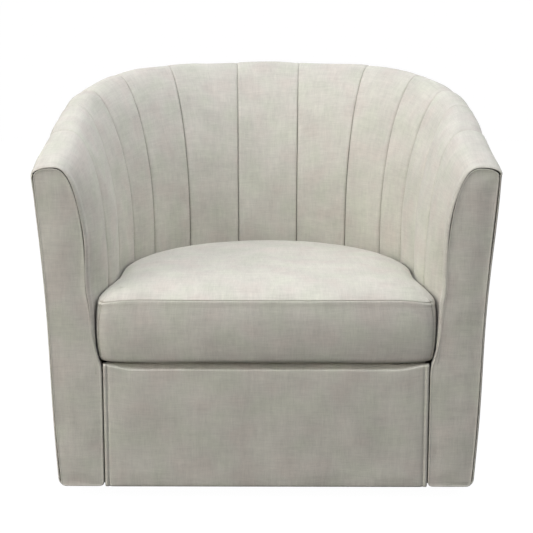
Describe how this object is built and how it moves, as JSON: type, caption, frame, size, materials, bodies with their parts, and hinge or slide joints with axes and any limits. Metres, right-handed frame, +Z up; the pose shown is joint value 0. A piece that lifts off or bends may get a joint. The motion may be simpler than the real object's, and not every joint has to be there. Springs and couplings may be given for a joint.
{
  "type": "swivel barrel chair",
  "caption": "Upholstered barrel chair with a channelled back, sloping arms and a loose seat cushion, turning on a ball-bearing plate over a hidden round base.",
  "frame": {"origin": "on the floor under the swivel axis, at the middle of the chair's box", "axes": "+X to the right as the chair faces the viewer, across its width; +Y towards its back, so the sitter faces -Y; +Z up along the swivel axis"},
  "size_m": [0.85, 0.762, 0.8218],
  "materials": {
    "upholstery": "matte",
    "foam": "matte",
    "plywood": "satin",
    "steel": "satin",
    "black_board": "satin",
    "black_cloth": "matte",
    "nylon": "satin"
  },
  "bodies": {
    "base": {"base_disc": "black_board", "riser_board": "plywood", "bearing_plate_lower": "steel", "centre_rivet": "steel", "base_screw_1": "steel", "base_screw_2": "steel", "base_screw_3": "steel", "base_screw_4": "steel", "glide_1": "nylon", "glide_2": "nylon", "glide_3": "nylon", "glide_4": "nylon", "glide_5": "nylon", "glide_6": "nylon"},
    "cage": {"ball_cage": "steel"},
    "shell": {"channel_01": "upholstery", "channel_02": "upholstery", "channel_03": "upholstery", "channel_04": "upholstery", "channel_05": "upholstery", "channel_06": "upholstery", "channel_07": "upholstery", "channel_08": "upholstery", "channel_09": "upholstery", "channel_10": "upholstery", "channel_11": "upholstery", "channel_12": "upholstery", "channel_13": "upholstery", "outside_arm_left": "upholstery", "outside_back": "upholstery", "outside_arm_right": "upholstery", "arm_facing_left": "upholstery", "arm_facing_right": "upholstery", "front_apron": "upholstery", "bottom_frame": "plywood", "seat_frame": "plywood", "top_rail": "plywood", "front_rail": "plywood", "arm_post_left": "plywood", "arm_post_right": "plywood", "back_stud_1": "plywood", "back_stud_2": "plywood", "back_stud_3": "plywood", "back_stud_4": "plywood", "swivel_board_left": "plywood", "swivel_board_right": "plywood", "dust_cover": "black_cloth", "seat_spring_1": "steel", "seat_spring_2": "steel", "seat_spring_3": "steel", "seat_spring_4": "steel", "seat_spring_5": "steel", "deck_pad": "black_cloth", "bearing_plate_upper": "steel", "frame_bolt_1": "steel", "frame_bolt_2": "steel", "frame_bolt_3": "steel", "frame_bolt_4": "steel"},
    "cushion": {"cushion_cover": "upholstery", "cushion_core": "foam"}
  },
  "joints": [
    {"name": "swivel", "type": "hinge", "parent": "base", "child": "shell", "pos_m": [0, 0, 0.038], "axis": [0, 0, 1], "continuous": true},
    {"name": "cage_spin", "type": "hinge", "parent": "base", "child": "cage", "pos_m": [0, 0, 0.038], "axis": [0, 0, 1], "continuous": true},
    {"name": "cushion_lift", "type": "slide", "parent": "shell", "child": "cushion", "axis": [0, 0, 1], "range_m": [0, 0.4]}
  ],
  "couplings": [
    {"joint": "cage_spin", "follows": "swivel", "ratio": 0.5}
  ]
}
